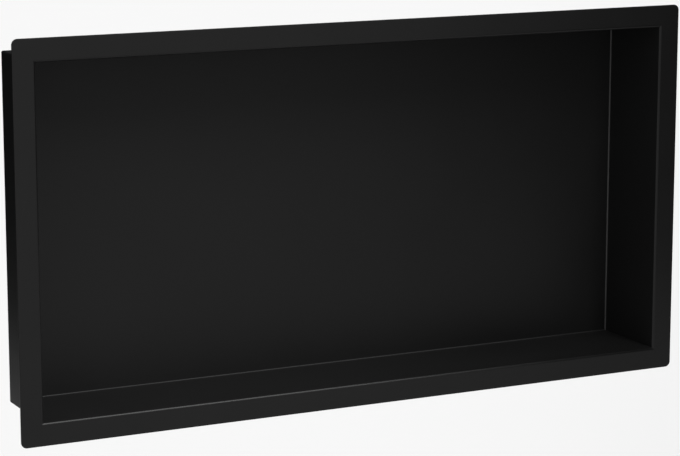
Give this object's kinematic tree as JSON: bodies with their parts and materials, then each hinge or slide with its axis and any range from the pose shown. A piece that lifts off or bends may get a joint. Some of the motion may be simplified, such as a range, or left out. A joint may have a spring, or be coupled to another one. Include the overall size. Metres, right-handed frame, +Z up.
{
  "type": "shower niche insert",
  "caption": "Recessed rectangular shower niche insert: an open-fronted box folded from black-coated sheet steel, with a flat flange round its mouth, set into a tiled wall to hold bottles.",
  "frame": {"origin": "centre of the opening, in the plane of the flange's rear face, which is the finished face of the wall", "axes": "+X to the right as seen from the room, +Y into the wall, +Z up"},
  "size_m": [0.64, 0.083, 0.34],
  "materials": {
    "black_coat": "matt black coating on folded sheet steel, inside and out"
  },
  "bodies": {
    "root": {"niche_insert": "black_coat"}
  },
  "joints": []
}
